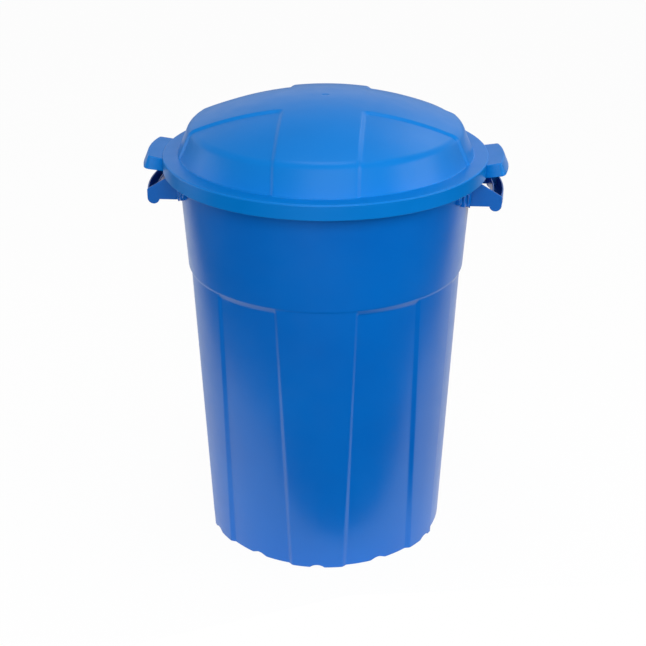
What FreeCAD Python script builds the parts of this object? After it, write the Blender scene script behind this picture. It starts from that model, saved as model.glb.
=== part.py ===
import FreeCAD, Part
import math
import os

# Round recycling bin: a tapered moulded bin, two side handles and a lift-off domed lid.
# Lengths are millimetres and angles are degrees. +Z is up, and the origin is on the ground
# at the middle of the base. The front faces -Y, and the handles are on +X and -X.

V = FreeCAD.Vector
UP = V(0, 0, 1)
ORIGIN = V(0, 0, 0)

# Bin wall: radii are outside
base_radius = 221.5         # raised panels at the ground
base_sink = 5.5             # depth of the sunk panels at the ground
step_height = 513.0         # lower edge of the plain band
step_flare = 21.5           # wall at that edge beyond the base
step_sink = 3.4             # depth of the sunk panels just under the band
ledge_height = 10.0         # slope from the band into a sunk panel
mouth_flare = 11.8          # wall at the top of the rim beyond that edge
rim_height = 707.0          # top of the rim above the ground
wall = 2.8

# Raised panels between the sunk ones
panel_count = 6
panel_top_width = 131.0
panel_foot_width = 90.0
handle_panel_width = 180.0  # sunk panel under each handle, which its neighbours make way for
panel_flank_angle = 56.0    # slope of a panel's side, from the radial direction
panel_root_share = 0.5      # how far in the panel cutter reaches, of the base radius

# Floor and foot ring
foot_height = 14.0          # hollow under the floor
floor_thickness = 3.2
notch_count = 12
notch_width = 26.0
notch_height = 5.0

# Rolled rim
rim_overhang = 19.7         # beyond the wall
lip_height = 14.0
rim_corner = 4.0

# Lid
lid_wall = 2.7
seat_clearance = 0.3        # brim above the rim
skirt_clearance = 2.8       # skirt around the rim
skirt_height = 26.0
brim_corner = 3.0
dome_inset = 4.2            # foot of the dome inside the bin's mouth
shoulder_inset = 19.6       # corner of the dome's side and its crown, inside that foot
shoulder_rise = 46.0        # that corner above the brim
shoulder_corner = 20.0
crown_rise = 48.0           # top of the crown above the shoulder
crown_tangent_share = 0.5   # where the crown's end tangents meet, of the shoulder radius
cross_width = 136.0         # each arm of the raised cross
cross_rise = 3.5
gate_radius = 6.0           # moulding mark at the top of the crown
gate_depth = 0.8

# Lifting tabs on the lid
tab_width = 124.0
tab_reach = 31.0            # beyond the skirt, at the middle
tab_edge_radius = 220.0     # curve of the outer edge, seen from above
tab_drop = 1.5              # root of the tab below the top of the brim
tab_height = 22.0
tab_draft = 4.5             # how much the tab's foot stands out past its top
tab_rise_angle = 9.5        # slope of the tab, up towards its outer edge

# Handles
gusset_spacing = 120.0      # between the middles of the two gusset plates
plate = 3.0
plate_lip = 0.8             # how far a plate stands proud of the grip's end
gusset_drop = 71.5          # foot of the plates below the top of the rim
gusset_top_angle = 31.0
grip_gap = 34.0             # between the wall at the mouth and the grip, seen from above
grip_width = 19.0
grip_height = 25.0
grip_drop = 7.5             # bottom of the grip below the gusset plates
grip_wall = 2.8

# Sockets on the bin that the handles' tongues slide up into
socket_reach = 4.2          # sockets, and the ribs beside them, beyond the wall at the mouth
socket_lip = 2.5
socket_inner_cheek = 9.0    # from the middle of the gusset plate towards the grip's middle
socket_outer_cheek = 21.0   # the other way
socket_drop = 66.0          # lower end of a socket below the top of the rim
tongue_width = 8.0
tongue_depth = 2.5
tongue_drop = 2.0           # tongue's foot below the gusset plate
tongue_height = 46.0
tongue_clearance = 0.25

# Stiffening ribs beside the sockets
rib_width = 9.0
rib_offset = 36.0           # from the middle of the gusset plate
rib_drop = 60.0             # lower end of the rib below the top of the rim
outer_rib_offset = 55.0
outer_rib_drop = 50.0

# Making
overrun = 5.0               # how far a cutter passes the face that it cuts
seam_angle = 15.0           # keeps the seam of round faces between the features
same_point = 0.01           # points nearer to each other than this are one

# Derived sizes
step_radius = base_radius + step_flare
mouth_radius = step_radius + mouth_flare
rim_radius = mouth_radius + rim_overhang
brim_top = rim_height + seat_clearance + lid_wall
lid_radius = rim_radius + skirt_clearance + lid_wall
dome_radius = mouth_radius - dome_inset
shoulder_radius = dome_radius - shoulder_inset
grip_radius = mouth_radius + grip_gap + grip_width
socket_radius = mouth_radius + socket_reach
socket_bottom = rim_height - socket_drop
rib_bottom = rim_height - rib_drop
outer_rib_bottom = rim_height - outer_rib_drop
gusset_bottom = rim_height - gusset_drop
gusset_offset = gusset_spacing / 2
grip_bottom = gusset_bottom - grip_drop
grip_top = grip_bottom + grip_height
rim_underside = rim_height - wall
tongue_top = gusset_bottom + tongue_height


def turned(shape, angle):
    """A copy of the shape, turned about the vertical axis."""
    copy = shape.copy()
    copy.rotate(ORIGIN, UP, angle)
    return copy


def line(start, end):
    """A list with the straight edge between two points, empty where they meet."""
    if start.isEqual(end, same_point):
        return []
    return [Part.LineSegment(start, end).toShape()]


def rounded_edges(corners):
    """Edges through corners (x, z, radius) in the XZ plane, each inner corner rounded."""
    points = [V(x, 0, z) for x, z, radius in corners]
    edges = []
    start = points[0]
    for index in range(1, len(points) - 1):
        corner = points[index]
        radius = corners[index][2]
        back = (points[index - 1] - corner).normalize()
        onward = (points[index + 1] - corner).normalize()
        half_angle = back.getAngle(onward) / 2
        first = corner + back * (radius / math.tan(half_angle))
        edges += line(start, first)
        start = first
        if radius > 0:
            bisector = (back + onward).normalize()
            middle = corner + bisector * (radius / math.sin(half_angle) - radius)
            last = corner + onward * (radius / math.tan(half_angle))
            edges.append(Part.Arc(first, middle, last).toShape())
            start = last
    return edges + line(start, points[-1])


def revolved(corners):
    """The solid of revolution of rounded corners that start and end on the axis."""
    edges = rounded_edges(corners)
    edges += line(V(0, 0, corners[-1][1]), V(0, 0, corners[0][1]))
    face = turned(Part.Face(Part.Wire(edges)), seam_angle)
    return face.revolve(ORIGIN, UP, 360)


def extruded_xz(edges, thickness, middle_y):
    """A plate of the given outline in the XZ plane, centred on middle_y."""
    face = Part.Face(Part.Wire(edges))
    face.translate(V(0, middle_y - thickness / 2, 0))
    return face.extrude(V(0, thickness, 0))


def box(low, high):
    """A box between two corners."""
    size = [b - a for a, b in zip(low, high)]
    return Part.makeBox(size[0], size[1], size[2], V(low[0], low[1], low[2]))


def ring_sector(inner, outer, low, high, first_angle, last_angle):
    """Part of a ring of rectangular section between two angles from +X."""
    corners = [V(inner, 0, low), V(outer, 0, low), V(outer, 0, high), V(inner, 0, high)]
    face = turned(Part.Face(Part.makePolygon(corners + corners[:1])), first_angle)
    return face.revolve(ORIGIN, UP, last_angle - first_angle)


def angle_at(offset, radius):
    """The angle from +X of a point at that offset along Y on a circle."""
    return math.degrees(math.asin(offset / radius))


def across(radius, offset):
    """The distance along X of a circle's point at that offset along Y."""
    return math.sqrt(radius ** 2 - offset ** 2)


# Bin body


def wall_radius(height, is_sunk):
    """Outside radius of the wall at a height, on a raised or on a sunk panel."""
    if height >= step_height:
        share = (height - step_height) / (rim_height - step_height)
        return step_radius + share * (mouth_radius - step_radius)
    share = height / step_height
    raised = base_radius + share * (step_radius - base_radius)
    if not is_sunk:
        return raised
    ledge_foot = step_height - ledge_height
    if height <= ledge_foot:
        return raised - base_sink - height / ledge_foot * (step_sink - base_sink)
    return raised - step_sink * (step_height - height) / ledge_height


def wall_solid(is_sunk, inset, low, high):
    """The round solid inside the wall's face, inset by a thickness, between two heights."""
    bends = [step_height - ledge_height, step_height]
    levels = [low] + [z for z in bends if low < z < high] + [high]
    side = [(wall_radius(z, is_sunk) - inset, z, 0) for z in levels]
    return revolved([(0, low, 0)] + side + [(0, high, 0)])


def panel_wedge(inset, sides):
    """Solid that holds one raised panel, on +X, between sides at (top, foot) off its middle."""
    slope = math.tan(math.radians(panel_flank_angle))
    narrowing = inset * math.hypot(1, slope)
    below = -overrun / step_height
    wires = []
    for x in (base_radius * panel_root_share, step_radius + overrun):
        corners = []
        for side, share in ((-1, below), (1, below), (1, 1), (-1, 1)):
            top_half, foot_half = sides[side]
            top_edge = across(step_radius, top_half)
            foot_edge = across(base_radius, foot_half)
            edge = foot_edge + share * (top_edge - foot_edge)
            half = foot_half + share * (top_half - foot_half)
            half += slope * (edge - x) - narrowing
            corners.append(V(x, side * half, share * step_height))
        wires.append(Part.makePolygon(corners + corners[:1]))
    return Part.makeLoft(wires, True, True)


def panel_sides(number):
    """The sides of a raised panel by direction, drawn in where the next panel has a handle."""
    full = (panel_top_width / 2, panel_foot_width / 2)
    half_pitch = 180 / panel_count
    drawn_in = []
    for radius in (step_radius, base_radius):
        angle = half_pitch - angle_at(handle_panel_width / 2, radius)
        drawn_in.append(radius * math.sin(math.radians(angle)))
    per_side = panel_count // 2
    is_first = number % per_side == 0
    is_last = number % per_side == per_side - 1
    return {-1: drawn_in if is_first else full, 1: drawn_in if is_last else full}


def panelled_solid(inset, low, high):
    """The wall's panelled shape, inset by a thickness, between two heights."""
    raised = wall_solid(False, inset, low, high)
    sunk = wall_solid(True, inset, low, high)
    pitch = 360 / panel_count
    panels = []
    for number in range(panel_count):
        wedge = panel_wedge(inset, panel_sides(number))
        panels.append(raised.common(turned(wedge, pitch * (number + 1 / 2))))
    return sunk.fuse(panels)


def rim():
    """The rolled rim: a flat top that carries the lid, and a lip turned down."""
    inner_corner = rim_corner - wall
    outside = revolved([
        (0, rim_height - lip_height, 0),
        (rim_radius, rim_height - lip_height, 0),
        (rim_radius, rim_height, rim_corner),
        (0, rim_height, 0),
    ])
    inside = revolved([
        (0, rim_height - lip_height - overrun, 0),
        (rim_radius - wall, rim_height - lip_height - overrun, 0),
        (rim_radius - wall, rim_underside, inner_corner),
        (0, rim_underside, 0),
    ])
    return outside.cut(inside)


def handle_fittings():
    """Sockets and ribs for the handle on +X, reaching into the wall."""
    half = rib_width / 2
    spans = [
        (-socket_inner_cheek, socket_outer_cheek, socket_bottom),
        (rib_offset - half, rib_offset + half, rib_bottom),
        (outer_rib_offset - half, outer_rib_offset + half, outer_rib_bottom),
    ]
    pieces = []
    for near, far, bottom in spans:
        root = wall_radius(bottom, True) - wall
        first = angle_at(gusset_offset + near, socket_radius)
        last = angle_at(gusset_offset + far, socket_radius)
        pieces.append(ring_sector(root, socket_radius, bottom, rim_underside, first, last))
        pieces.append(ring_sector(root, socket_radius, bottom, rim_underside, -last, -first))
    return pieces


def tongue_places():
    """X of a tongue's inner and outer face, shared by tongues and sockets."""
    outer = across(socket_radius, gusset_offset) - socket_lip
    return outer - tongue_depth, outer


def socket_slots():
    """Cutters for the tongue slots of the handle on +X, open at the bottom."""
    inner, outer = tongue_places()
    low = socket_bottom - overrun
    high = tongue_top + tongue_clearance
    cutters = []
    for side in (-1, 1):
        middle = side * gusset_offset
        half_head = tongue_width / 2 + tongue_clearance
        half_neck = plate / 2 + tongue_clearance
        cutters.append(box(
            (inner - tongue_clearance, middle - half_head, low),
            (outer + tongue_clearance, middle + half_head, high),
        ))
        cutters.append(box(
            (outer - tongue_clearance, middle - half_neck, low),
            (socket_radius + overrun, middle + half_neck, high),
        ))
    return cutters


def foot_notches():
    """Round cutters for the low arches in the foot ring."""
    half_width = notch_width / 2
    radius = (half_width ** 2 + notch_height ** 2) / (2 * notch_height)
    start = V(base_radius * panel_root_share, 0, notch_height - radius)
    cutter = Part.makeCylinder(radius, base_radius, start, V(1, 0, 0))
    return [turned(cutter, 360 / notch_count * n) for n in range(notch_count)]


def bin_body():
    """The bin: wall, floor, foot ring, rim and the handle sockets in one moulding."""
    fittings = handle_fittings()
    opposite = [turned(piece, 180) for piece in fittings]
    body = panelled_solid(0, 0, rim_height).fuse([rim()] + fittings + opposite)
    body = body.cut(panelled_solid(wall, foot_height + floor_thickness, rim_height + overrun))
    body = body.cut(panelled_solid(wall, -overrun, foot_height))
    slots = socket_slots()
    body = body.cut(slots + [turned(slot, 180) for slot in slots] + foot_notches())
    return body.removeSplitter()


# Lid


def parallel(corners, distance):
    """Corners of a line through (x, z) points, moved sideways, to the left of its way."""
    moved = []
    for (x1, z1), (x2, z2) in zip(corners, corners[1:]):
        length = math.hypot(x2 - x1, z2 - z1)
        shift = (-(z2 - z1) / length * distance, (x2 - x1) / length * distance)
        moved.append(((x1 + shift[0], z1 + shift[1]), (x2 + shift[0], z2 + shift[1])))
    result = [moved[0][0]]
    for (a, b), (c, d) in zip(moved, moved[1:]):
        run = (b[0] - a[0], b[1] - a[1])
        next_run = (d[0] - c[0], d[1] - c[1])
        cross = run[0] * next_run[1] - run[1] * next_run[0]
        share = ((c[0] - a[0]) * next_run[1] - (c[1] - a[1]) * next_run[0]) / cross
        result.append((a[0] + share * run[0], a[1] + share * run[1]))
    return result + [moved[-1][1]]


def dome_corners(rise):
    """Corners of the dome from its foot on the brim to its top, raised by a height."""
    crown_top = brim_top + shoulder_rise + crown_rise
    line_up = [
        (dome_radius, brim_top),
        (shoulder_radius, brim_top + shoulder_rise),
        (shoulder_radius * crown_tangent_share, crown_top),
        (0, crown_top),
    ]
    return parallel(line_up, -rise)


def dome_rounding(corners):
    """Radius of the crown: its curve ends on the axis."""
    (x1, z1), (x2, z2), (x3, z3) = corners[1:4]
    turn = math.atan2(z2 - z1, x1 - x2)
    return (x2 - x3) / math.tan(turn / 2)


def dome_solid(rise, bottom):
    """The solid under the raised dome, down to a level."""
    corners = dome_corners(rise)
    foot_x, foot_z = corners[0]
    shoulder, crown, top = corners[1:]
    return revolved([
        (0, bottom, 0),
        (foot_x, bottom, 0),
        (foot_x, foot_z, 0),
        (*shoulder, shoulder_corner + rise),
        (*crown, dome_rounding(corners)),
        (*top, 0),
    ])


def cross_prism(inset):
    """Upright prism of the raised cross, seen from above, with its sides inset."""
    half = cross_width / 2 - inset
    reach = lid_radius + overrun
    low = brim_top - skirt_height
    high = brim_top + shoulder_rise + crown_rise + cross_rise + overrun
    along_x = box((-reach, -half, low), (reach, half, high))
    along_y = box((-half, -reach, low), (half, reach, high))
    return along_x.fuse(along_y)


def crossed_dome(inset, bottom):
    """The dome with its raised cross, inset by a thickness, as a solid down to a level."""
    plain = dome_solid(-inset, bottom)
    arms = dome_solid(cross_rise - inset, bottom).common(cross_prism(inset))
    return plain.fuse(arms)


def brim_solid(inset, bottom):
    """The round solid inside brim and skirt, inset by a thickness, down to a level."""
    radius = lid_radius - inset
    return revolved([
        (0, bottom, 0),
        (radius, bottom, 0),
        (radius, brim_top - inset, brim_corner - inset),
        (0, brim_top - inset, 0),
    ])


def tab_solid(inset, low, high):
    """A lifting tab on +X, drawn in towards its top and sloped, inset by a thickness."""
    start = across(lid_radius, tab_width / 2) - overrun
    wires = []
    for height, spread in ((low, tab_draft), (high, 0)):
        edge_radius = tab_edge_radius - inset + spread
        middle = lid_radius + tab_reach - tab_draft - tab_edge_radius
        half = tab_width / 2 - tab_draft - inset + spread
        corner = middle + across(edge_radius, half)
        points = [
            V(start, -half, height),
            V(corner, -half, height),
            V(middle + edge_radius, 0, height),
            V(corner, half, height),
            V(start, half, height),
        ]
        edges = line(points[0], points[1])
        edges.append(Part.Arc(*points[1:4]).toShape())
        edges += line(points[3], points[4]) + line(points[4], points[0])
        wires.append(Part.Wire(edges))
    tab = Part.makeLoft(wires, True, True)
    tab.rotate(V(lid_radius, 0, brim_top - tab_drop), V(0, 1, 0), -tab_rise_angle)
    return tab


def lid():
    """The domed lid: crown with its cross, brim, skirt and two hollow lifting tabs."""
    skirt_bottom = brim_top - skirt_height
    tab_top = brim_top - tab_drop
    tab_bottom = tab_top - tab_height
    tab = tab_solid(0, tab_bottom, tab_top)
    hollow = tab_solid(lid_wall, tab_bottom - overrun, tab_top - lid_wall)
    outside = brim_solid(0, skirt_bottom).fuse([crossed_dome(0, brim_top - lid_wall)])
    hollow = hollow.cut(brim_solid(0, tab_bottom - overrun - overrun))
    outside = outside.fuse([tab, turned(tab, 180)])
    outside = outside.cut([hollow, turned(hollow, 180)])
    inside = brim_solid(lid_wall, skirt_bottom - overrun)
    inside = inside.fuse(crossed_dome(lid_wall, brim_top - skirt_height))
    crown_top = brim_top + shoulder_rise + crown_rise + cross_rise
    gate = Part.makeCylinder(gate_radius, overrun, V(0, 0, crown_top - gate_depth))
    return outside.cut([inside, gate]).removeSplitter()


# Handles


def gusset(side):
    """One gusset plate with its tongue and the closed end of the grip, for +X."""
    middle = side * gusset_offset
    inner, outer = tongue_places()
    end_outer = across(grip_radius, gusset_offset) + plate_lip
    end_inner = across(grip_radius - grip_width, gusset_offset) - plate_lip
    end_bottom = grip_bottom - plate_lip
    end_top = grip_top + plate_lip
    lobe = (end_outer - end_inner) / 2
    lobe_middle = end_bottom + lobe
    meets = end_inner + lobe - across(lobe, gusset_bottom - lobe_middle)
    slope = math.tan(math.radians(gusset_top_angle))
    root_top = min(end_top + (end_outer - outer) * slope, tongue_top)
    points = [
        V(outer, 0, gusset_bottom),
        V(meets, 0, gusset_bottom),
        V(end_inner + lobe, 0, end_bottom),
        V(end_outer, 0, lobe_middle),
        V(end_outer, 0, end_top),
        V(end_outer - (root_top - end_top) / slope, 0, root_top),
        V(outer, 0, root_top),
    ]
    edges = line(points[0], points[1])
    edges.append(Part.Arc(*points[1:4]).toShape())
    for first, last in zip(points[3:], points[4:] + points[:1]):
        edges += line(first, last)
    half = tongue_width / 2
    foot = gusset_bottom - tongue_drop
    tongue = box((inner, middle - half, foot), (outer, middle + half, tongue_top))
    return extruded_xz(edges, plate, middle).fuse(tongue)


def grip_section(inset, top):
    """Edges of the grip's round-bottomed section, inset by a thickness, up to a level."""
    inner = grip_radius - grip_width + inset
    outer = grip_radius - inset
    middle = (inner + outer) / 2
    turn = grip_bottom + grip_width / 2
    corners = [V(inner, 0, top), V(inner, 0, turn), V(outer, 0, turn), V(outer, 0, top)]
    edges = line(corners[0], corners[1])
    edges.append(Part.Arc(corners[1], V(middle, 0, grip_bottom + inset), corners[2]).toShape())
    return edges + line(corners[2], corners[3]) + line(corners[3], corners[0])


def grip():
    """The curved channel between the gusset plates, for +X."""
    spread = angle_at(gusset_offset + plate, grip_radius - grip_width)
    channels = []
    for inset, top in ((0, grip_top), (grip_wall, grip_top + overrun)):
        face = turned(Part.Face(Part.Wire(grip_section(inset, top))), -spread)
        channels.append(face.revolve(ORIGIN, UP, 2 * spread))
    channel = channels[0].cut(channels[1])
    reach = grip_radius + overrun
    half = gusset_offset - plate / 2
    between = box((0, -half, 0), (reach, half, rim_height))
    return channel.common(between)


def right_handle():
    """The handle on +X: grip, two gusset plates and two tongues in one moulding."""
    return grip().fuse([gusset(-1), gusset(1)]).removeSplitter()


os.makedirs("parts", exist_ok=True)
handle = right_handle()
pieces = {
    "bin_body": bin_body(),
    "lid": lid(),
    "right_handle": handle,
    "left_handle": turned(handle, 180),
}
for name, shape in pieces.items():
    solids = shape.Solids
    print(name, "solids", len(solids), "valid", shape.isValid(), "volume", round(shape.Volume))
    Part.Compound(solids).exportStep("parts/" + name + ".step")
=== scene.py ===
import math

import bmesh
import bpy
import numpy as np
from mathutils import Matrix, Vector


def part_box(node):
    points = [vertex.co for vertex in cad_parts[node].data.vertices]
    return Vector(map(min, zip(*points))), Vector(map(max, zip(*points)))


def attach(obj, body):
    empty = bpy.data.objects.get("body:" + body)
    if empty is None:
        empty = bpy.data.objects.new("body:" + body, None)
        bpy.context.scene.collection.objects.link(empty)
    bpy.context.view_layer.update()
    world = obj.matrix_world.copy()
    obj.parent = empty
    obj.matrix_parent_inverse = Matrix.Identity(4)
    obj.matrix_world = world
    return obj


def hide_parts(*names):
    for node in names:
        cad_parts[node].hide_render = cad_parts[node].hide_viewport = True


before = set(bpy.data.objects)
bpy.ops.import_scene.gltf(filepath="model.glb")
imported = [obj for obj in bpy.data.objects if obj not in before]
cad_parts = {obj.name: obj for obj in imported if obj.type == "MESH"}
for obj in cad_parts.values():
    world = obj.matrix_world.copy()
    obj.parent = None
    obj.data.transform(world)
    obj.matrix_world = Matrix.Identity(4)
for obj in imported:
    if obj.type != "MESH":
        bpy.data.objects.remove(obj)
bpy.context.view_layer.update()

# Round recycling bin with two handles and a lift-off lid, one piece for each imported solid.
# Lengths are metres, angles are degrees and radii are outside ones. The front faces -Y.

# From the frame
rim_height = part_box("bin_body")[1].z
rim_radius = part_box("bin_body")[1].x
lid_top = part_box("lid")[1].z
lid_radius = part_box("lid")[1].y

# Bin wall
base_radius = 0.2215         # raised panels at the ground
base_sink = 0.0055           # depth of the sunk panels at the ground
step_height = 0.513          # lower edge of the plain band
step_flare = 0.0215          # wall at that edge beyond the base
step_sink = 0.0034           # depth of the sunk panels just under the band
ledge_height = 0.010         # slope from the band into a sunk panel
mouth_flare = 0.0118         # wall at the top of the rim beyond the band's lower edge
wall = 0.0028
panel_pitch = 60
panel_top_width = 0.131
panel_foot_width = 0.090
handle_panel_width = 0.180   # sunk panel under each handle
flank_angle = 56             # slope of a panel's side, from the radial direction
flank_round = 0.0014         # softness of a panel's edges
crease_depth = 0.0008        # groove between the band and the raised panels
crease_height = 0.0035

# Floor and foot ring
foot_height = 0.014          # hollow under the floor
floor_thickness = 0.0032
floor_round = 0.006
foot_round = 0.0009
notch_count = 12
notch_width = 0.026
notch_height = 0.005

# Rolled rim
lip_height = 0.014
rim_corner = 0.004
rim_root_round = 0.002

# Lid
lid_wall = 0.0027
seat_clearance = 0.0003      # brim above the rim
skirt_height = 0.026
brim_corner = 0.003
dome_inset = 0.0042          # foot of the dome inside the bin's mouth
dome_root_round = 0.0016     # hollow round at that foot
dome_root_angle = 195        # where that round leaves the dome's side
shoulder_inset = 0.0196      # corner of the dome's side and its crown, inside that foot
shoulder_rise = 0.046
shoulder_corner = 0.020
crown_tangent_share = 0.5    # where the crown's end tangents meet, of the shoulder radius
cross_width = 0.136          # each arm of the raised cross
cross_rise = 0.0035
cross_flank = 0.0095         # width of the slope beside an arm
cross_corner = 0.012         # round where two arms meet
gate_radius = 0.006          # moulding mark at the top of the crown
gate_depth = 0.0008
gate_edge_start = 0.8        # edge of the mark, of its radius
gate_edge_run = 0.4

# Lifting tabs
tab_width = 0.124
tab_reach = 0.031            # beyond the skirt, at the middle
tab_edge_radius = 0.220      # curve of the outer edge, seen from above
tab_drop = 0.0015            # root of the tab below the top of the brim
tab_height = 0.022
tab_draft = 0.0045           # how much the tab's foot stands out past its top
tab_rise_angle = 9.5
tab_corner = 0.005
tab_round = 0.0024
tab_hollow_corner = 0.00108

# Handles
gusset_offset = 0.060        # from the handle's middle to the middle of a plate
plate = 0.003
plate_lip = 0.0008           # how far a plate stands proud of the grip's end
plate_round = 0.0007
plate_end_corner = 0.004
plate_root_corner = 0.002
gusset_drop = 0.0715         # foot of the plates below the top of the rim
gusset_top_angle = 31
grip_gap = 0.034             # between the wall at the mouth and the grip
grip_width = 0.019
grip_height = 0.025
grip_drop = 0.0075           # bottom of the grip below the plates
grip_wall = 0.0028
tip_round = 0.0012
tongue_width = 0.008
tongue_depth = 0.0025
tongue_drop = 0.002          # tongue's foot below the plate
tongue_height = 0.046
tongue_clearance = 0.00025

# Sockets of the handles, and the ribs beside them
socket_reach = 0.0042        # beyond the wall at the mouth
socket_lip = 0.0025
socket_drop = 0.066          # lower end below the top of the rim
socket_inner_cheek = 0.009   # from the middle of the plate towards the handle's middle
socket_outer_cheek = 0.021   # the other way
rib_width = 0.009
rib_offset = 0.036           # from the middle of the plate
rib_drop = 0.060
outer_rib_offset = 0.055
outer_rib_drop = 0.050
block_round = 0.0012

# Worked out
step_radius = base_radius + step_flare
mouth_radius = step_radius + mouth_flare
floor_top = foot_height + floor_thickness
rim_underside = rim_height - wall
brim_top = rim_height + seat_clearance + lid_wall
crown_top = lid_top - cross_rise
dome_radius = mouth_radius - dome_inset
shoulder_radius = dome_radius - shoulder_inset
gusset_bottom = rim_height - gusset_drop
grip_radius = mouth_radius + grip_gap + grip_width
grip_bottom = gusset_bottom - grip_drop
grip_top = grip_bottom + grip_height
socket_radius = mouth_radius + socket_reach
socket_bottom = rim_height - socket_drop
slot_half = plate / 2 + tongue_clearance
rib_bottom = rim_height - rib_drop
outer_rib_bottom = rim_height - outer_rib_drop
tongue_outer = math.sqrt(socket_radius ** 2 - gusset_offset ** 2) - socket_lip
tongue_inner = tongue_outer - tongue_depth
tongue_bottom = gusset_bottom - tongue_drop
tongue_top = gusset_bottom + tongue_height

# Mesh fineness
panel_columns = 24
cross_columns = 18
flank_columns = 8
arc_steps = 5
ledge_levels = 12
foot_levels = 5
inner_pitch = 0.024          # between the rings of the bin's inside
outer_pitch = 0.010          # and of its outside
floor_shares = (0.04, 0.15, 0.35, 0.55, 0.75, 0.9)
gate_shares = (0.3, 0.6, 0.85, 1.0, 1.15, 1.5)
crown_zones = ((0.014, 0.086, 12), (0.088, 0.116, 19))
outer_zone_start = 0.122     # rest of the crown, outside those zones of first, last and count
outer_zone_rings = 22
dome_side_shares = (0.2, 0.4, 0.6, 0.8, 0.92)
brim_shares = (0.12, 0.3, 0.6)
underside_shares = (0.6, 0.3, 0.1)
cross_widest_angle = 42      # widest half of an arm's columns, near the middle of the crown
cross_widest_spread = 2
block_steps = 4
tab_edge_steps = 24
tab_root_steps = 12
lobe_steps = 24
plate_edge_steps = 3
grip_outside_steps = 20
grip_inside_steps = 16
grip_stations = 25
shortest_reach = 0.5         # keeps an inset short at a sharp corner
normal_weight = 80

# Plastics: deep and pale colour, roughness and gloss level
bin_look = ((0.000, 0.122, 0.50), (0.000, 0.138, 0.54), 0.30, 0.50)
# The lid's colours are lighter than the bin's: painted light, for the light that falls on the lid
lid_lit_look = ((0.000, 0.158, 0.525), (0.002, 0.172, 0.565), 0.33, 0.12)
# The handle's colours are darker than the bin's: painted shade, for the shade under the lid's tabs
handle_shaded_look = ((0.000, 0.106, 0.44), (0.000, 0.120, 0.48), 0.34, 0.40)
plastic_ior = 1.5
cloud_noise = (6, 4)         # scale and detail
cloud_range = (0.3, 0.7)     # noise at which the deep and the pale colour are reached
gloss_noise = (35, 3)
gloss_spread = (-0.05, 0.07)
grain_noise = (700, 2)
grain_strength = 0.12
grain_depth = 0.0004

# Studio: a white table, dark below the horizon beyond it
table_corners = (
    (-0.70, -0.34), (-0.42, -0.52), (0.06, -0.30), (0.80, -0.20), (4.00, 6.00), (-4.00, 6.00),
)
table_drop = 0.0003          # below the foot ring
table_grey = 0.8
table_glow_share = 0.96
world_level = 0.45
world_below = 0.0
horizon_blur = 0.1
backdrop_foot = 0.25         # reflections see white up to here, as the upward part of a direction
backdrop_top = 0.70          # and the plain level from here

# Lamps, all turned to the middle of the bin: name, place, size and watts
lamps = (
    ("key", (0.37, -2.10, 1.94), (1.8, 1.2), 25),
    ("front", (-0.20, -2.60, 0.80), (1.6, 0.8), 23),
    ("right", (2.00, -0.45, 1.35), (1.4, 0.5), 18),
    ("left", (-2.00, 0.20, 0.60), (1.0, 1.0), 8),
    ("back", (1.03, 1.73, 2.35), (0.9, 0.9), 6),
    ("top", (0.00, 0.00, 2.60), (0.7, 0.7), 9),
)

# Photograph's camera
camera_turn = 3.9
camera_distance = 2.240
camera_height = 1.41764
camera_pitch = 24.82
focal_pixels = 1352
frame_pixels = 646
shift_pixels = -2.6
sensor_width = 36


# Numbers and paths


def smooth(share):
    """A soft S from 0 to 1."""
    share = np.clip(share, 0, 1)
    return share * share * (3 - 2 * share)


def mix(first, last, share):
    return first + share * (last - first)


def across(radius, offset):
    """The other leg of a right triangle with this long side."""
    return math.sqrt(radius ** 2 - offset ** 2)


def arc(middle, radius, first_angle, last_angle, steps):
    """Points on an arc, as (x, y) pairs."""
    angles = np.radians(np.linspace(first_angle, last_angle, steps + 1))
    return [(middle[0] + radius * math.cos(a), middle[1] + radius * math.sin(a)) for a in angles]


def corners_of(points, end_radius=0):
    """Points of an arc as corners (x, y, radius) of a path, where only its ends are rounded."""
    ends = (0, len(points) - 1)
    return [(x, y, end_radius if n in ends else 0) for n, (x, y) in enumerate(points)]


def corner_arc(before, corner, after, radius):
    """Points of the arc that rounds a corner between its two neighbours."""
    back, onward = before - corner, after - corner
    back /= np.linalg.norm(back)
    onward /= np.linalg.norm(onward)
    half_angle = math.acos(np.clip(back @ onward, -1, 1)) / 2
    bisector = (back + onward) / np.linalg.norm(back + onward)
    middle = corner + bisector * radius / math.sin(half_angle)
    first = corner + back * radius / math.tan(half_angle) - middle
    last = corner + onward * radius / math.tan(half_angle) - middle
    turn = math.atan2(first[0] * last[1] - first[1] * last[0], first @ last)
    aside = np.array((-first[1], first[0]))
    angles = np.linspace(0, turn, arc_steps + 1)
    return [middle + math.cos(a) * first + math.sin(a) * aside for a in angles]


def rounded_path(corners, closed=False):
    """Points through corners (x, y, radius), each corner with a radius turned into an arc."""
    places = [np.array(corner[:2], dtype=float) for corner in corners]
    count = len(corners)
    points = []
    for index, (_, _, radius) in enumerate(corners):
        is_end = not closed and index in (0, count - 1)
        if radius == 0 or is_end:
            points.append(places[index])
        else:
            after = places[(index + 1) % count]
            points += corner_arc(places[index - 1], places[index], after, radius)
    return np.array(points)


def inset_path(points, distances):
    """A closed path that runs anticlockwise, moved inwards by one or more distances."""
    edges = np.roll(points, -1, axis=0) - points
    edges /= np.linalg.norm(edges, axis=1)[:, None]
    normals = np.stack((-edges[:, 1], edges[:, 0]), axis=1)
    before = np.roll(normals, 1, axis=0)
    reach = 1 + (normals * before).sum(axis=1)
    moves = (normals + before) / np.maximum(reach, shortest_reach)[:, None]
    return points + moves * np.reshape(distances, (-1, 1))


# Loops and shells


def lying(path, height):
    """A path of (x, y) points at a height."""
    return np.column_stack((path, np.full(len(path), height)))


def standing(path, y):
    """A path of (x, z) points at a place along Y."""
    return np.column_stack((path[:, 0], np.full(len(path), y), path[:, 1]))


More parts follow.
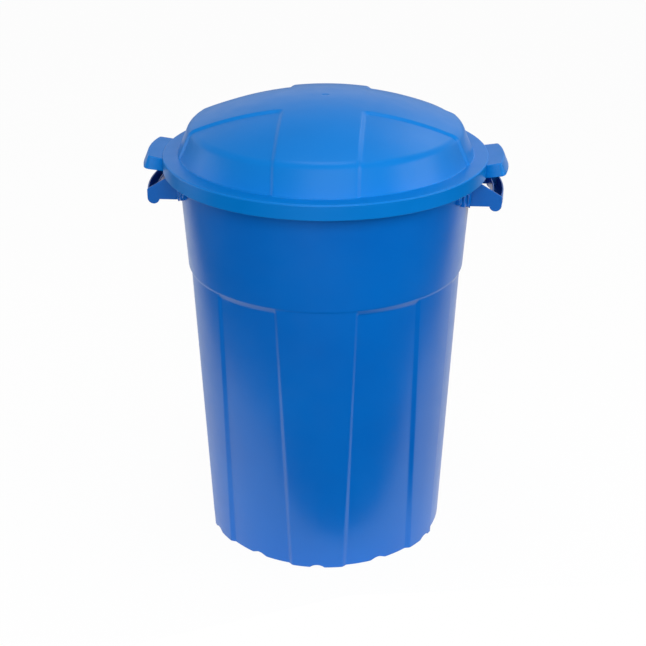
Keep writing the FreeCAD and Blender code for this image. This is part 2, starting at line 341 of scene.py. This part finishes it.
def around(angles, radii, heights):
    """Points about the vertical axis."""
    heights = np.broadcast_to(heights, angles.shape)
    return np.stack((radii * np.cos(angles), radii * np.sin(angles), heights), axis=1)


def loft(loops):
    """A closed shell over loops of points, with a face on each end."""
    size = len(loops[0])
    vertices = np.concatenate(loops)
    faces = [list(range(size))[::-1]]
    for ring in range(len(loops) - 1):
        low, high = ring * size, (ring + 1) * size
        for n in range(size):
            m = (n + 1) % size
            faces.append((low + n, low + m, high + m, high + n))
    faces.append(list(range(len(vertices) - size, len(vertices))))
    return vertices, faces


def turned_shell(rings, first_height, last_height):
    """A closed shell over rings about the vertical axis, with a point on the axis at each end."""
    size = len(rings[0])
    poles = [(0, 0, first_height), (0, 0, last_height)]
    vertices = np.concatenate(rings + [np.array(poles)])
    first, last = len(vertices) - 2, len(vertices) - 1
    faces = []
    for n in range(size):
        m = (n + 1) % size
        faces.append((first, n, m))
        for ring in range(len(rings) - 1):
            low, high = ring * size, (ring + 1) * size
            faces.append((low + n, high + n, high + m, low + m))
        end = (len(rings) - 1) * size
        faces.append((last, end + m, end + n))
    return vertices, faces


def joined(shells):
    """Several shells as one set of vertices and faces."""
    vertices, faces, start = [], [], 0
    for points, polygons in shells:
        vertices.append(points)
        faces += [[start + n for n in polygon] for polygon in polygons]
        start += len(points)
    return np.concatenate(vertices), faces


def opposite(shell):
    """The shell turned half a turn about the vertical axis."""
    vertices, faces = shell
    return vertices * np.array((-1, -1, 1)), faces


def make_piece(name, shell, material):
    """An object with smooth, outward faces from a shell."""
    vertices, faces = shell
    mesh = bpy.data.meshes.new(name)
    mesh.from_pydata(vertices.tolist(), [], faces)
    work = bmesh.new()
    work.from_mesh(mesh)
    bmesh.ops.recalc_face_normals(work, faces=work.faces)
    work.to_mesh(mesh)
    work.free()
    mesh.shade_smooth()
    mesh.materials.append(material)
    piece = bpy.data.objects.new(name, mesh)
    bpy.context.scene.collection.objects.link(piece)
    normals = piece.modifiers.new("normals", "WEIGHTED_NORMAL")
    normals.weight = normal_weight
    return piece


# Bin


def sink(height):
    """Depth of the sunk panels at a height, running softly out into the plain band."""
    ledge_foot = step_height - ledge_height
    depth = mix(base_sink, step_sink, min(height, ledge_foot) / ledge_foot)
    return depth * (1 - smooth((height - ledge_foot + flank_round) / (ledge_height + flank_round)))


def raised_radius(height):
    """Radius of the raised panels, a crease inside the plain band over them."""
    if height >= step_height:
        return mix(step_radius, mouth_radius, (height - step_height) / (rim_height - step_height))
    crease = crease_depth * smooth((step_height - height) / crease_height)
    return mix(base_radius, step_radius, height / step_height) - crease * height / step_height


def panel_edges(height):
    """Where the three panel sides of a quarter begin and end, as angles from a handle."""
    share = min(height / step_height, 1)
    radius = mix(base_radius, step_radius, share)
    pitch = math.radians(panel_pitch)
    half = math.asin(mix(panel_foot_width, panel_top_width, share) / 2 / radius)
    run = mix(base_sink, step_sink, share) * math.tan(math.radians(flank_angle)) / radius
    under_handle = math.asin(handle_panel_width / 2 / radius)
    return (
        (under_handle - run, under_handle),
        (pitch / 2 + half, pitch / 2 + half + run),
        (pitch * 3 / 2 - half - run, pitch * 3 / 2 - half),
    )


def panel_angles(height):
    """Angles of the wall's columns, which follow the sides of the raised panels."""
    spread = flank_round / base_radius
    runs = []
    start = 0
    for first, last in panel_edges(height):
        runs.append(np.linspace(start, first - spread, panel_columns, endpoint=False))
        runs.append(np.linspace(first - spread, last + spread, flank_columns, endpoint=False))
        start = last + spread
    runs.append(np.linspace(start, math.pi / 2, panel_columns + 1))
    quarter = np.concatenate(runs)
    half = np.concatenate((quarter, math.pi - quarter[-2::-1]))
    return np.concatenate((half[:-1], half[:-1] + math.pi))


def panel_shares():
    """How far each column stands up out of a sunk panel: 1 on a raised panel."""
    up = smooth(np.arange(flank_columns) / flank_columns)
    sunk, raised = np.zeros(panel_columns), np.ones(panel_columns)
    quarter = np.concatenate((sunk, up, raised, 1 - up, sunk, up, raised, [1]))
    half = np.concatenate((quarter, quarter[-2::-1]))
    return np.concatenate((half[:-1], half[:-1]))


def notch_heights(angles):
    """Height of the foot ring's arches at each column."""
    half_width = notch_width / 2
    radius = (half_width ** 2 + notch_height ** 2) / (2 * notch_height)
    pitch = 2 * math.pi / notch_count
    off = (angles + pitch / 2) % pitch - pitch / 2
    aside = np.minimum(np.abs(base_radius * off), radius)
    return np.maximum(notch_height - radius + np.sqrt(radius ** 2 - aside ** 2), 0)


def wall_ring(height, inset, share=1.0):
    """Points of the panelled wall at a height, or of the floor inside it at a share."""
    radii = raised_radius(height) - sink(height) * (1 - panel_shares()) - inset
    return around(panel_angles(height), radii * share, height)


def round_ring(radius, height):
    """Points of a plain ring on the rim."""
    return around(panel_angles(step_height), radius, height)


def foot_ring(height, inset):
    """Points of the foot ring, lifted over its notches."""
    points = wall_ring(height, inset)
    notches = notch_heights(panel_angles(height))
    points[:, 2] = notches + height * (foot_height - notches) / foot_height
    return points


def wall_heights(low, high, pitch):
    """Levels along the wall, closer together at the ledge over the sunk panels."""
    ledge_low = step_height - ledge_height - 3 * flank_round
    ledge_high = step_height + 2 * flank_round
    below = np.linspace(low, ledge_low, round((ledge_low - low) / pitch))
    ledge = np.linspace(ledge_low, ledge_high, ledge_levels)[1:-1]
    above = np.linspace(ledge_high, high, round((high - ledge_high) / pitch))
    return np.concatenate((below, ledge, above))


def floor_rings():
    """From the middle of the floor to the wall's inside."""
    rings = [wall_ring(floor_top, wall + floor_round, share) for share in floor_shares]
    for x, y in arc((floor_round, floor_round), floor_round, -90, -180, arc_steps):
        rings.append(wall_ring(floor_top + y, wall + x))
    return rings


def rim_rings():
    """From the mouth over the rim and its lip to the wall under it."""
    inside = raised_radius(rim_height) - wall
    lip_inside = rim_radius - wall
    lip_bottom = rim_height - lip_height
    end_height = rim_underside - 2 * rim_root_round
    path = rounded_path([
        (inside, rim_height - 3 * rim_root_round, 0),
        (inside, rim_height, wall / 2),
        (rim_radius, rim_height, rim_corner),
        (rim_radius, lip_bottom, wall / 3),
        (lip_inside, lip_bottom, wall / 3),
        (lip_inside, rim_underside, rim_corner - wall),
        (mouth_radius, rim_underside, rim_root_round),
        (raised_radius(end_height), end_height, 0),
    ])
    return [round_ring(radius, height) for radius, height in path]


def foot_rings():
    """From the wall's foot under the foot ring and up to the middle of the floor's underside."""
    levels = np.linspace(foot_height, 3 * foot_round, foot_levels)[1:]
    rings = [foot_ring(height, 0) for height in levels]
    for x, y in arc((foot_round, foot_round), foot_round, 180, 270, arc_steps):
        rings.append(foot_ring(y, x))
    for x, y in arc((wall - foot_round, foot_round), foot_round, 270, 360, arc_steps):
        rings.append(foot_ring(y, x))
    rings += [foot_ring(height, wall) for height in levels[::-1]]
    return rings + [wall_ring(foot_height, wall, share) for share in (1, *floor_shares[::-1])]


def bin_shell():
    """Floor, wall, rim and foot ring in one skin."""
    inner = wall_heights(floor_top + 2 * floor_round, rim_height - 5 * rim_root_round, inner_pitch)
    outer = wall_heights(foot_height, rim_underside - 3 * rim_root_round, outer_pitch)
    rings = floor_rings()
    rings += [wall_ring(height, wall) for height in inner]
    rings += rim_rings()
    rings += [wall_ring(height, 0) for height in outer[::-1]]
    rings += foot_rings()
    return turned_shell(rings, floor_top, foot_height)


def block(first_offset, last_offset, bottom):
    """A socket cheek or rib on +X between two offsets along Y, from inside the wall out."""
    first = math.degrees(math.asin(first_offset / socket_radius))
    last = math.degrees(math.asin(last_offset / socket_radius))
    far = arc((0, 0), socket_radius, first, last, block_steps)
    foot = arc((block_round, bottom + block_round), block_round, 270, 180, arc_steps)
    loops = []
    for inset, height in foot + [(0, rim_underside)]:
        near = arc((0, 0), raised_radius(height) - wall / 2, last, first, block_steps)
        outline = rounded_path(corners_of(near) + corners_of(far, block_round), closed=True)
        loops.append(lying(inset_path(outline, inset), height))
    return loft(loops)


def fittings():
    """Sockets and ribs of both handles."""
    half = rib_width / 2
    spans = (
        (-socket_inner_cheek, -slot_half, socket_bottom),
        (slot_half, socket_outer_cheek, socket_bottom),
        (rib_offset - half, rib_offset + half, rib_bottom),
        (outer_rib_offset - half, outer_rib_offset + half, outer_rib_bottom),
    )
    blocks = []
    for near, far, bottom in spans:
        first, last = gusset_offset + near, gusset_offset + far
        blocks += [block(first, last, bottom), block(-last, -first, bottom)]
    return joined(blocks + [opposite(shell) for shell in blocks])


# Lid


def crown_points():
    """Points (radius, height) of the crown, from near its middle out to the shoulder."""
    tangent_x = shoulder_radius * crown_tangent_share
    turn = math.atan2(crown_top - brim_top - shoulder_rise, shoulder_radius - tangent_x)
    crown_radius = tangent_x / math.tan(turn / 2)
    crown_middle = crown_top - crown_radius
    outer_zone = (outer_zone_start, crown_radius * math.sin(turn), outer_zone_rings)
    bands = [np.linspace(*zone) for zone in (*crown_zones, outer_zone)]
    radii = np.concatenate((np.array(gate_shares) * gate_radius, *bands))
    return [(radius, crown_middle + across(crown_radius, radius)) for radius in radii]


def side_points(crown_end):
    """Points of the round shoulder and the dome's side, down to just above the brim."""
    path = rounded_path([
        (*crown_end, 0),
        (shoulder_radius, brim_top + shoulder_rise, shoulder_corner),
        (dome_radius, brim_top, 0),
    ])
    start, end = path[-2:]
    return [*path[1:-1], *[mix(start, end, share) for share in dome_side_shares]]


def dome_profile():
    """Points (radius, height) from the crown's top to the brim, with outward normals."""
    crown = crown_points()
    points = np.array(crown + side_points(crown[-1]))
    slopes = np.gradient(points, axis=0)
    normals = np.stack((-slopes[:, 1], slopes[:, 0]), axis=1)
    normals /= np.linalg.norm(normals, axis=1)[:, None]
    return points, normals


def cross_angles(radius):
    """Angles of the lid's columns, which follow the sides of the raised cross."""
    widest = math.radians(cross_widest_angle)
    widest_spread = math.radians(cross_widest_spread)
    edge = math.asin(min(cross_width / 2 / radius, math.sin(widest)))
    spread = min(cross_flank / 2 / (radius * math.cos(edge)), widest_spread)
    quarter = math.pi / 2
    half = np.concatenate((
        np.linspace(0, edge - spread, cross_columns, endpoint=False),
        np.linspace(edge - spread, edge + spread, flank_columns, endpoint=False),
        np.linspace(edge + spread, quarter / 2, cross_columns + 1),
    ))
    arm = np.concatenate((-half[::-1], half[1:-1]))
    return np.concatenate([arm + quarter * n for n in range(4)])


def cross_share(angles, radius):
    """How far each point stands up on the cross: 1 on an arm, 0 between the arms."""
    x, y = np.abs(radius * np.cos(angles)), np.abs(radius * np.sin(angles))
    lean = np.clip(0.5 + 0.5 * (y - x) / cross_corner, 0, 1)
    nearest = mix(y, x, lean) - cross_corner * lean * (1 - lean)
    return 1 - smooth((nearest - cross_width / 2 + cross_flank / 2) / cross_flank)


def gate_dip(radius):
    """Depth of the moulding mark at a radius."""
    return gate_depth * (1 - smooth((radius / gate_radius - gate_edge_start) / gate_edge_run))


def dome_ring(point, normal, inset):
    """Points of the dome with its cross, moved inwards from the outside."""
    radius, height = point
    angles = cross_angles(radius)
    rise = cross_rise * cross_share(angles, radius) - inset
    return around(angles, radius + normal[0] * rise, height + normal[1] * rise)


def dome_roots(foot):
    """Angles around the dome's foot and the radii there, which are larger on the cross."""
    angles = cross_angles(foot)
    return angles, foot + cross_rise * cross_share(angles, foot)


def root_rings():
    """The small hollow round between the dome's side and the brim."""
    angles, roots = dome_roots(dome_radius)
    lean = (dome_radius - shoulder_radius) / shoulder_rise
    middle = (dome_root_round, dome_root_round)
    hollow = arc(middle, dome_root_round, dome_root_angle, 270, arc_steps)
    return [around(angles, roots + x - lean * y, brim_top + y) for x, y in hollow]


def brim_ring(radius, height, share=1.0, foot=dome_radius):
    """A ring of the brim, where share runs from the dome's foot out to the radius."""
    angles, roots = dome_roots(foot)
    return around(angles, mix(roots, radius, share), height)


def brim_rings():
    """From the dome's foot over the brim, down the skirt and back up inside it."""
    inside = lid_radius - lid_wall
    underside = brim_top - lid_wall
    skirt_bottom = brim_top - skirt_height
    flat_end = lid_radius - 4 * brim_corner
    under_end = inside - 2 * brim_corner
    path = rounded_path([
        (flat_end, brim_top, 0),
        (lid_radius, brim_top, brim_corner),
        (lid_radius, skirt_bottom, lid_wall / 3),
        (inside, skirt_bottom, lid_wall / 3),
        (inside, underside, lid_wall / 3),
        (under_end, underside, 0),
    ])
    root = dome_radius - lid_wall
    rings = [brim_ring(flat_end, brim_top, share) for share in brim_shares]
    rings += [brim_ring(radius, height) for radius, height in path]
    return rings + [brim_ring(under_end, underside, share, root) for share in underside_shares]


def lid_shell():
    """Dome, brim and skirt in one skin."""
    points, normals = dome_profile()
    rings = [dome_ring(p, n, gate_dip(p[0])) for p, n in zip(points, normals)]
    rings += root_rings() + brim_rings()
    rings += [dome_ring(p, n, lid_wall) for p, n in zip(points[::-1], normals[::-1])]
    return turned_shell(rings, lid_top - gate_depth, lid_top - lid_wall)


def tab_outline():
    """A tab on +X seen from above, and which of its points are at the root in the skirt."""
    half = tab_width / 2 - tab_draft
    middle = lid_radius + tab_reach - tab_draft - tab_edge_radius
    corner_angle = math.degrees(math.asin(half / tab_edge_radius))
    root_radius = lid_radius - lid_wall / 2
    root_angle = math.degrees(math.asin(half / root_radius))
    edge = arc((middle, 0), tab_edge_radius, -corner_angle, corner_angle, tab_edge_steps)
    root = arc((0, 0), root_radius, root_angle, -root_angle, tab_root_steps)
    outline = rounded_path(corners_of(edge, tab_corner) + corners_of(root), closed=True)
    is_root = np.hypot(outline[:, 0], outline[:, 1]) < root_radius + lid_wall / 2
    return outline, is_root


def tab_levels(is_root):
    """Insets of the outline and heights from the tab's top, over its edge and into its hollow."""
    free = np.where(is_root, 0, 1)
    tip = lid_wall / 3
    levels = []
    for x, y in arc((tab_round, -tab_round), tab_round, 90, 180, arc_steps):
        levels.append((x * free, y))
    for x, y in arc((tip, tip - tab_height), tip, 180, 270, arc_steps):
        levels.append(((x - tab_draft) * free, y))
    for x, y in arc((lid_wall - tip, tip - tab_height), tip, 270, 360, arc_steps):
        levels.append((x - tab_draft * free, y))
    return levels + [(lid_wall, -2 * lid_wall), (lid_wall + tab_hollow_corner, -lid_wall)]


def tab_shell():
    """A lifting tab on +X that slopes up from the skirt, hollow from below."""
    outline, is_root = tab_outline()
    rise = math.radians(tab_rise_angle)
    loops = []
    for inset, up in tab_levels(is_root):
        path = inset_path(outline, inset)
        out = path[:, 0] - lid_radius + is_root * up * math.tan(rise)
        x = lid_radius + out * math.cos(rise) - up * math.sin(rise)
        z = brim_top - tab_drop + out * math.sin(rise) + up * math.cos(rise)
        loops.append(np.column_stack((x, path[:, 1], z)))
    return loft(loops)


# Handles


def plate_outline():
    """A gusset plate on +X seen from the side, with a round lobe at the end of the grip."""
    end_outer = across(grip_radius, gusset_offset) + plate_lip
    end_inner = across(grip_radius - grip_width, gusset_offset) - plate_lip
    end_top = grip_top + plate_lip
    root = tongue_outer - plate_lip
    lobe = (end_outer - end_inner) / 2
    lobe_middle = (end_inner + lobe, grip_bottom - plate_lip + lobe)
    meets = math.degrees(math.asin((gusset_bottom - lobe_middle[1]) / lobe))
    slope = math.tan(math.radians(gusset_top_angle))
    root_top = min(end_top + (end_outer - tongue_outer) * slope, tongue_top)
    return rounded_path([
        *corners_of(arc(lobe_middle, lobe, 180 - meets, 360, lobe_steps)),
        (end_outer, end_top, plate_end_corner),
        (end_outer - (root_top - end_top) / slope, root_top, plate_root_corner),
        (root, root_top, 0),
        (root, gusset_bottom, 0),
    ], closed=True)


def plate_shell(side):
    """One gusset plate with rounded edges."""
    outline = plate_outline()
    low, high = side * gusset_offset - plate / 2, side * gusset_offset + plate / 2
    levels = arc((plate_round, low + plate_round), plate_round, 270, 180, plate_edge_steps)
    levels += arc((plate_round, high - plate_round), plate_round, 180, 90, plate_edge_steps)
    return loft([standing(inset_path(outline, inset), y) for inset, y in levels])


def grip_section():
    """The grip's channel, as (radius, height) points."""
    inner = grip_radius - grip_width
    half = grip_width / 2
    middle = (grip_radius - half, grip_bottom + half)
    return rounded_path([
        *corners_of(arc(middle, half, 180, 360, grip_outside_steps)),
        (grip_radius, grip_top, tip_round),
        (grip_radius - grip_wall, grip_top, tip_round),
        *corners_of(arc(middle, half - grip_wall, 360, 180, grip_inside_steps)),
        (inner + grip_wall, grip_top, tip_round),
        (inner, grip_top, tip_round),
    ], closed=True)


def grip_shell():
    """The curved channel between the gusset plates on +X."""
    radii, heights = grip_section().T
    loops = []
    for y in np.linspace(-gusset_offset, gusset_offset, grip_stations):
        loops.append(standing(np.column_stack((np.sqrt(radii ** 2 - y ** 2), heights)), y))
    return loft(loops)


def tongue_shell(side):
    """The tongue at a plate's root, which slides up into its socket."""
    low = side * gusset_offset - tongue_width / 2
    high = side * gusset_offset + tongue_width / 2
    outline = rounded_path([
        (tongue_inner, low, plate_round),
        (tongue_outer, low, plate_round),
        (tongue_outer, high, plate_round),
        (tongue_inner, high, plate_round),
    ], closed=True)
    half = plate_round / 2
    levels = ((half, tongue_bottom), (0, tongue_bottom + half), (0, tongue_top))
    return loft([lying(inset_path(outline, inset), height) for inset, height in levels])


def handle_shell():
    """The handle on +X."""
    shells = [grip_shell()]
    for side in (-1, 1):
        shells += [plate_shell(side), tongue_shell(side)]
    return joined(shells)


# Nodes and materials


def noise(tree, scale, detail):
    """Noise that stays with the piece."""
    place = tree.nodes.new("ShaderNodeTexCoord")
    node = tree.nodes.new("ShaderNodeTexNoise")
    node.inputs["Scale"].default_value = scale
    node.inputs["Detail"].default_value = detail
    tree.links.new(place.outputs["Object"], node.inputs["Vector"])
    return node.outputs["Fac"]


def mapped(tree, value, source, target):
    """A value mapped from one range to another, whose upper end may be a node's result."""
    node = tree.nodes.new("ShaderNodeMapRange")
    low, high = target
    node.inputs["From Min"].default_value, node.inputs["From Max"].default_value = source
    node.inputs["To Min"].default_value = low
    if isinstance(high, bpy.types.NodeSocket):
        tree.links.new(high, node.inputs["To Max"])
    else:
        node.inputs["To Max"].default_value = high
    tree.links.new(value, node.inputs["Value"])
    return node.outputs["Result"]


def either(tree, first, *others):
    """The largest of some values."""
    value = first
    for other in others:
        node = tree.nodes.new("ShaderNodeMath")
        node.operation = "MAXIMUM"
        tree.links.new(value, node.inputs[0])
        tree.links.new(other, node.inputs[1])
        value = node.outputs["Value"]
    return value


def cloudy_colour(tree, deep, pale):
    """A colour that drifts between two others."""
    node = tree.nodes.new("ShaderNodeValToRGB")
    for element, place, colour in zip(node.color_ramp.elements, cloud_range, (deep, pale)):
        element.position = place
        element.color = (*colour, 1)
    tree.links.new(noise(tree, *cloud_noise), node.inputs["Fac"])
    return node.outputs["Color"]


def fine_grain(tree):
    """The faint grain of moulded plastic."""
    node = tree.nodes.new("ShaderNodeBump")
    node.inputs["Strength"].default_value = grain_strength
    node.inputs["Distance"].default_value = grain_depth
    tree.links.new(noise(tree, *grain_noise), node.inputs["Height"])
    return node.outputs["Normal"]


def plastic(name, deep, pale, roughness, gloss_level):
    """Satin moulded polyethylene: cloudy colour, fine grain and uneven gloss."""
    material = bpy.data.materials.new(name)
    material.use_nodes = True
    tree = material.node_tree
    shader = tree.nodes["Principled BSDF"].inputs
    shader["IOR"].default_value = plastic_ior
    shader["Specular IOR Level"].default_value = gloss_level
    rough_range = [roughness + spread for spread in gloss_spread]
    uneven = mapped(tree, noise(tree, *gloss_noise), (0, 1), rough_range)
    tree.links.new(cloudy_colour(tree, deep, pale), shader["Base Color"])
    tree.links.new(uneven, shader["Roughness"])
    tree.links.new(fine_grain(tree), shader["Normal"])
    return material


def floor_material():
    """White to the camera and in reflections, with a share that still takes the bin's shadow."""
    material = bpy.data.materials.new("floor_white")
    material.use_nodes = True
    tree = material.node_tree
    tree.nodes.remove(tree.nodes["Principled BSDF"])
    matte = tree.nodes.new("ShaderNodeBsdfDiffuse")
    matte.inputs["Color"].default_value = (table_grey, table_grey, table_grey, 1)
    glow = tree.nodes.new("ShaderNodeEmission")
    glow.inputs["Color"].default_value = (1, 1, 1, 1)
    path = tree.nodes.new("ShaderNodeLightPath").outputs
    seen = either(tree, path["Is Camera Ray"], path["Is Glossy Ray"], path["Is Transmission Ray"])
    blend = tree.nodes.new("ShaderNodeMixShader")
    tree.links.new(mapped(tree, seen, (0, 1), (0, table_glow_share)), blend.inputs["Fac"])
    tree.links.new(matte.outputs["BSDF"], blend.inputs[1])
    tree.links.new(glow.outputs["Emission"], blend.inputs[2])
    tree.links.new(blend.outputs["Shader"], tree.nodes["Material Output"].inputs["Surface"])
    return material


# Studio


def make_floor():
    """A white table that ends close in front of the bin, so that its front reflects the dark."""
    corners = [(x, y, -table_drop) for x, y in table_corners]
    mesh = bpy.data.meshes.new("floor")
    mesh.from_pydata(corners, [], [range(len(corners))])
    mesh.materials.append(floor_material())
    floor = bpy.data.objects.new("floor", mesh)
    bpy.context.scene.collection.objects.link(floor)


def make_world():
    """White to the camera. As light it is soft and even above the horizon and dark below it,
    and reflections see a white backdrop low down."""
    world = bpy.data.worlds.new("studio")
    bpy.context.scene.world = world
    world.use_nodes = True
    tree = world.node_tree
    path = tree.nodes.new("ShaderNodeLightPath").outputs
    place = tree.nodes.new("ShaderNodeTexCoord")
    parts = tree.nodes.new("ShaderNodeSeparateXYZ")
    tree.links.new(place.outputs["Generated"], parts.inputs["Vector"])
    up = parts.outputs["Z"]
    backdrop = mapped(tree, up, (backdrop_foot, backdrop_top), (1, world_level))
    level = mapped(tree, path["Is Glossy Ray"], (0, 1), (world_level, backdrop))
    light = mapped(tree, up, (-horizon_blur, horizon_blur), (world_below, level))
    background = tree.nodes["Background"].inputs
    background["Color"].default_value = (1, 1, 1, 1)
    strength = either(tree, path["Is Camera Ray"], path["Is Transmission Ray"], light)
    tree.links.new(strength, background["Strength"])


def make_lamp(name, place, size, power):
    """A soft lamp turned to the middle of the bin."""
    lamp = bpy.data.lights.new(name, "AREA")
    lamp.shape = "RECTANGLE"
    lamp.size, lamp.size_y = size
    lamp.energy = power
    holder = bpy.data.objects.new(name, lamp)
    bpy.context.scene.collection.objects.link(holder)
    holder.location = place
    x, y, z = np.array((0, 0, rim_height / 2)) - np.array(place)
    holder.rotation_euler = (math.atan2(math.hypot(x, y), -z), 0, math.atan2(-x, y))


def make_camera():
    """The camera of the photograph."""
    camera = bpy.data.cameras.new("camera")
    camera.sensor_width = sensor_width
    camera.lens = sensor_width * focal_pixels / frame_pixels
    camera.shift_x = shift_pixels / frame_pixels
    holder = bpy.data.objects.new("camera", camera)
    bpy.context.scene.collection.objects.link(holder)
    turn = math.radians(camera_turn)
    holder.location = (
        camera_distance * math.sin(turn),
        -camera_distance * math.cos(turn),
        camera_height,
    )
    holder.rotation_euler = (math.radians(90 - camera_pitch), 0, turn)
    bpy.context.scene.camera = holder


# Build

bin_plastic = plastic("bin_plastic", *bin_look)
# The lid's plastic is the bin's plastic made lighter with painted light
lid_plastic = plastic("lid_plastic", *lid_lit_look)
# The handles' plastic is the bin's plastic made darker with painted shade
handle_plastic = plastic("handle_plastic", *handle_shaded_look)

bin_piece = make_piece("bin_shell", joined([bin_shell(), fittings()]), bin_plastic)
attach(bin_piece, "bin")
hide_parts("bin_body")

tab = tab_shell()
lid_piece = make_piece("lid_shell", joined([lid_shell(), tab, opposite(tab)]), lid_plastic)
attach(lid_piece, "lid")
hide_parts("lid")

handle = handle_shell()
for node, shell in (("right_handle", handle), ("left_handle", opposite(handle))):
    handle_piece = make_piece(node + "_moulding", shell, handle_plastic)
    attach(handle_piece, "bin")
    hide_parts(node)

make_floor()
make_world()
for lamp in lamps:
    make_lamp(*lamp)
make_camera()
bpy.context.scene.view_settings.view_transform = "Standard"
